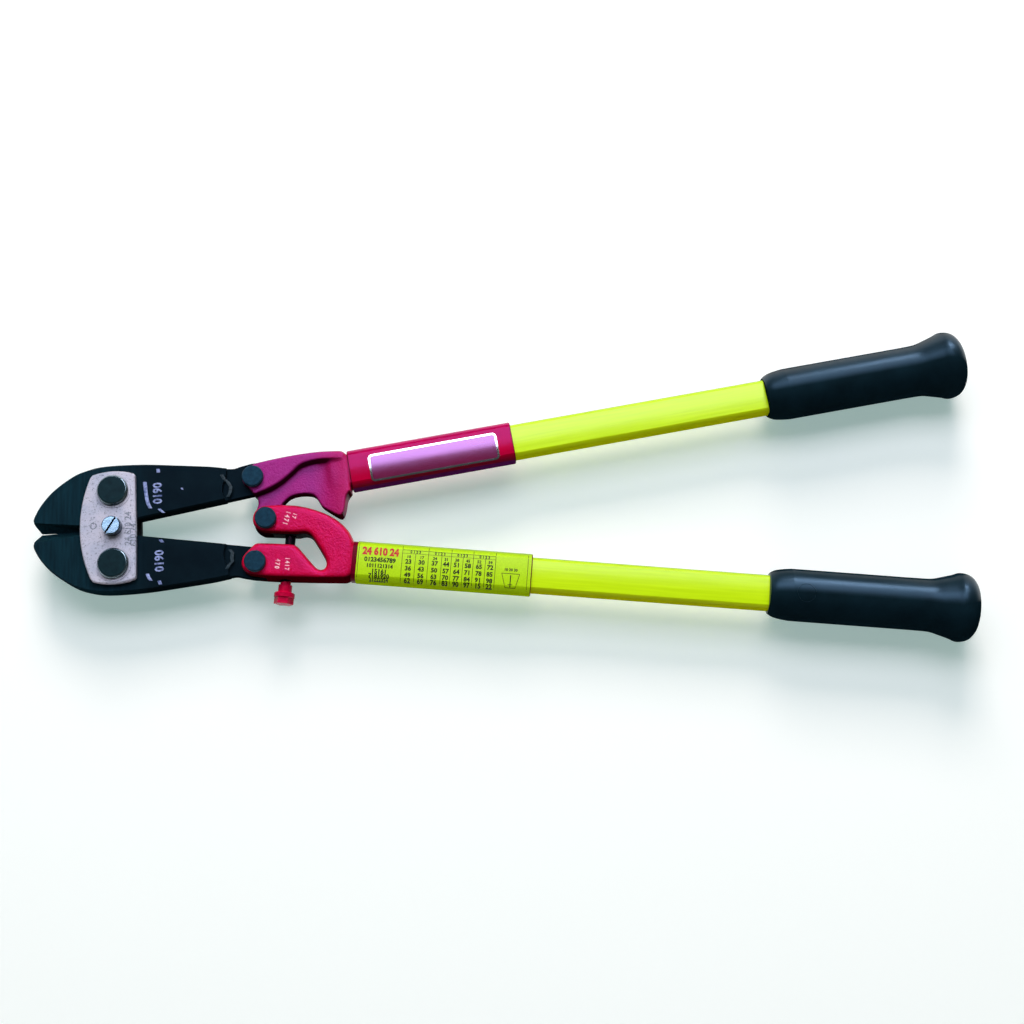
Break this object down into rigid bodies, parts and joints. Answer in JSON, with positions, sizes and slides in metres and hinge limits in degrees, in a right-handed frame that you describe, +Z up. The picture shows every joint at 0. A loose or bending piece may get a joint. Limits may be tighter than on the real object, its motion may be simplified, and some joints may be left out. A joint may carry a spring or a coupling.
{
  "type": "bolt cutters",
  "caption": "Long-handled compound-lever bolt cutters lying flat: black jaws between steel side plates, red castings with an adjusting screw, yellow bars and flared rubber grips.",
  "frame": {"origin": "on the surface the tool lies on, below the middle of its bounding box", "axes": "+X along the tool from the jaws to the grips, +Y from the lower handle to the upper handle, +Z up through the bolt heads"},
  "size_m": [0.6093, 0.2046, 0.044],
  "materials": {
    "jaw": "satin black oxide",
    "plate": "tumbled steel",
    "black_plate": "black oxide",
    "black_bolt": "black oxide",
    "zinc": "bright zinc plate",
    "pin_steel": "plain steel",
    "upper_casting": "hammered red enamel, satin",
    "lower_casting": "hammered red enamel, satin",
    "adjusting_screw": "red enamel",
    "ferrule": "glossy red enamel",
    "red_vinyl": "glossy red vinyl",
    "yellow_vinyl": "satin yellow vinyl",
    "bar": "glossy yellow moulded fibreglass",
    "grip": "satin blue-black rubber"
  },
  "bodies": {
    "lower_handle": {"lower_casting": "lower_casting", "lower_link_bolt": "black_bolt", "lower_link_nut": "black_bolt", "handle_pivot_bolt": "black_bolt", "handle_pivot_nut": "black_bolt", "lower_ferrule": "ferrule", "lower_ferrule_pins": "pin_steel", "lower_wrap": "yellow_vinyl", "lower_handle_bar": "bar", "lower_grip": "grip"},
    "upper_handle": {"upper_casting": "upper_casting", "upper_link_bolt": "black_bolt", "upper_link_nut": "black_bolt", "upper_ferrule": "ferrule", "upper_ferrule_pins": "pin_steel", "upper_wrap": "red_vinyl", "upper_handle_bar": "bar", "upper_grip": "grip"},
    "lower_jaw": {"lower_jaw": "jaw"},
    "side_plates": {"front_plate": "plate", "rear_plate": "black_plate", "upper_jaw_bolt": "black_bolt", "lower_jaw_bolt": "black_bolt", "upper_jaw_nut": "black_bolt", "lower_jaw_nut": "black_bolt", "centre_screw": "zinc", "centre_spacer": "pin_steel", "centre_nut": "zinc"},
    "upper_jaw": {"upper_jaw": "jaw"},
    "adjusting_screw": {"adjusting_screw": "adjusting_screw"}
  },
  "joints": [
    {"name": "handle_opening", "type": "hinge", "parent": "lower_handle", "child": "upper_handle", "pos_m": [-0.15526, 0.0034, 0.022], "axis": [0, 0, 1], "range_deg": [0, 88]},
    {"name": "lower_jaw_pivot", "type": "hinge", "parent": "lower_handle", "child": "lower_jaw", "pos_m": [-0.16276, -0.0244, 0.022], "axis": [0, 0, 1], "range_deg": [0, 52.38]},
    {"name": "side_plate_pivot", "type": "hinge", "parent": "lower_jaw", "child": "side_plates", "pos_m": [-0.25226, -0.0204, 0.022], "axis": [0, 0, 1], "range_deg": [-8.38, 0]},
    {"name": "upper_jaw_pivot", "type": "hinge", "parent": "upper_handle", "child": "upper_jaw", "pos_m": [-0.16276, 0.0312, 0.022], "axis": [0, 0, 1], "range_deg": [-52.38, 0]},
    {"name": "adjusting_screw_turn", "type": "hinge", "parent": "lower_handle", "child": "adjusting_screw", "pos_m": [-0.14583, -0.04335, 0.022], "axis": [-0.1383, -0.9904, 0], "range_deg": [-360, 360]}
  ],
  "couplings": [
    {"joint": "lower_jaw_pivot", "follows": "handle_opening", "ratio": 0.59469},
    {"joint": "side_plate_pivot", "follows": "handle_opening", "ratio": -0.094687},
    {"joint": "upper_jaw_pivot", "follows": "handle_opening", "ratio": -0.59469}
  ]
}
